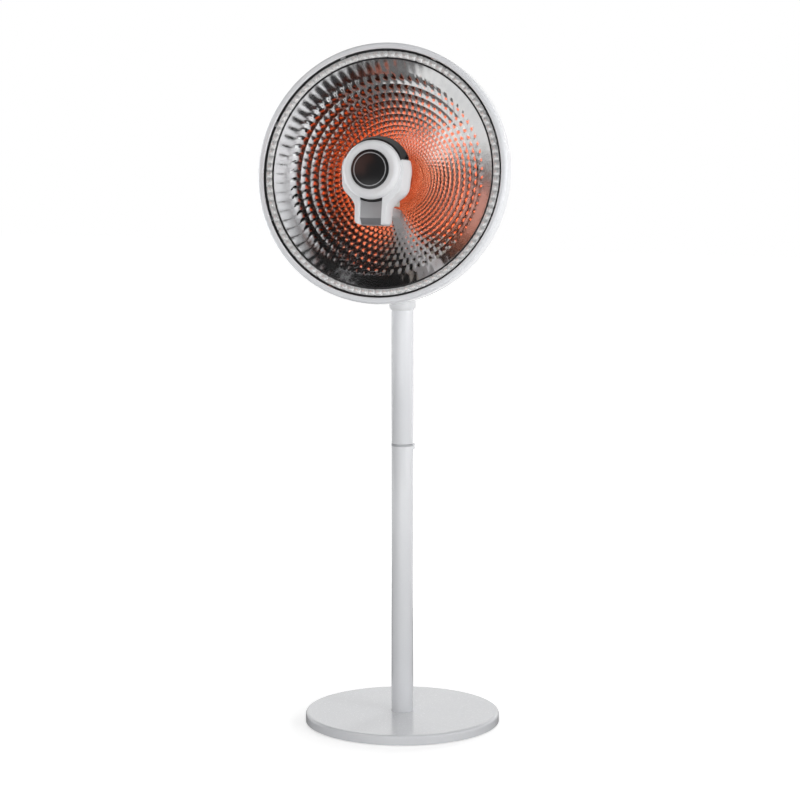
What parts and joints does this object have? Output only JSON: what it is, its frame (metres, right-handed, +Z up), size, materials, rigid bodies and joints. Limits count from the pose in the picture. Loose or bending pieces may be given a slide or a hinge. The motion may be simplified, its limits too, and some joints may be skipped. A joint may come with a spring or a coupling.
{
  "type": "parabolic heater",
  "caption": "Pedestal dish heater: round base, telescopic column, faceted mirror reflector with a lamp behind a keyhole hood, tilting and swivelling head.",
  "frame": {"origin": "on the floor, on the axis of the column, under the middle of the base", "axes": "+Z up along the column, -Y the way the dish faces, +X to the right seen from in front"},
  "size_m": [0.366, 0.2945, 0.9911],
  "materials": {
    "white_enamel": "gloss white enamel",
    "white_plastic": "gloss white plastic",
    "grey_plastic": "satin grey plastic",
    "black_plastic": "satin black plastic",
    "badge_black": "gloss black",
    "zinc_steel": "zinc plated",
    "polished_steel": "polished",
    "mirror_aluminium": "bright mirror, faceted",
    "ballast_iron": "dark iron",
    "foot_rubber": "matt black rubber",
    "black_enamel": "satin black heat-proof enamel",
    "lamp_ceramic": "unglazed ceramic",
    "quartz": "clear quartz",
    "glowing_carbon": "glowing carbon strand"
  },
  "bodies": {
    "base": {"base_cover": "white_enamel", "base_weight": "ballast_iron", "foot_ring": "foot_rubber", "tube_flange": "zinc_steel", "flange_screws": "zinc_steel", "lower_tube": "white_enamel", "tube_bush": "grey_plastic", "clamp_boss": "zinc_steel"},
    "clamp": {"clamp_screw": "zinc_steel", "clamp_knob": "white_plastic"},
    "mast": {"slide_tube": "polished_steel", "tube_glide": "grey_plastic", "sleeve_spacer": "grey_plastic", "upper_sleeve": "white_enamel", "neck_collar": "white_plastic", "collar_screws": "zinc_steel", "tilt_bolt": "zinc_steel", "friction_washers": "grey_plastic"},
    "tilt_grip": {"tilt_knob": "white_plastic"},
    "carrier": {"swivel_carrier": "white_plastic", "post_clip": "zinc_steel", "thrust_ring": "grey_plastic", "motor_shaft": "zinc_steel"},
    "selector": {"selector_shaft": "zinc_steel", "selector_knob": "black_plastic"},
    "rocker": {"rocker_button": "black_plastic"},
    "head": {"rim_bezel": "white_enamel", "back_shell": "white_enamel", "rear_housing": "white_plastic", "rear_cover": "white_plastic", "hood_shell": "white_plastic", "hood_ring": "white_plastic", "hood_arm": "white_plastic", "selector_switch": "black_plastic", "rocker_frame": "black_plastic", "tip_switch": "black_plastic", "cable_gland": "black_plastic", "gland_nut": "black_plastic", "terminal_block": "black_plastic", "thermal_cutout": "black_plastic", "badge": "badge_black", "swivel_motor": "zinc_steel", "motor_bracket": "zinc_steel", "bracket_screws": "zinc_steel", "hub_plate": "zinc_steel", "rim_clips": "zinc_steel", "pole_screw": "zinc_steel", "pole_nut": "zinc_steel", "housing_screws": "zinc_steel", "cover_screws": "zinc_steel", "switch_nut": "zinc_steel", "hood_screw": "zinc_steel", "arm_screws": "zinc_steel", "reflector": "mirror_aluminium", "lamp_cup": "black_enamel", "lamp_holder": "lamp_ceramic", "lamp_caps": "lamp_ceramic", "quartz_tube": "quartz", "carbon_element": "glowing_carbon"}
  },
  "joints": [
    {"name": "column_height", "type": "slide", "parent": "base", "child": "mast", "axis": [0, 0, 1], "range_m": [0, 0.18]},
    {"name": "clamp_turn", "type": "hinge", "parent": "base", "child": "clamp", "pos_m": [0, 0.03, 0.4035], "axis": [0, 1, 0], "range_deg": [-360, 0]},
    {"name": "head_tilt", "type": "hinge", "parent": "mast", "child": "carrier", "pos_m": [0, 0, 0.7004], "axis": [-1, 0, 0], "range_deg": [-20, 20]},
    {"name": "tilt_grip_turn", "type": "hinge", "parent": "mast", "child": "tilt_grip", "pos_m": [0.025, 0, 0.7004], "axis": [1, 0, 0], "range_deg": [0, 360]},
    {"name": "head_swivel", "type": "hinge", "parent": "carrier", "child": "head", "pos_m": [0, 0, 0.7004], "axis": [0, 0.1736, 0.9848], "range_deg": [-35, 35]},
    {"name": "selector_turn", "type": "hinge", "parent": "head", "child": "selector", "pos_m": [-0.024, 0.05401, 0.79648], "axis": [0, 0.9848, -0.1736], "range_deg": [0, 120]},
    {"name": "rocker_press", "type": "hinge", "parent": "head", "child": "rocker", "pos_m": [0.024, 0.05401, 0.79648], "axis": [1, 0, 0], "range_deg": [0, 20]}
  ]
}
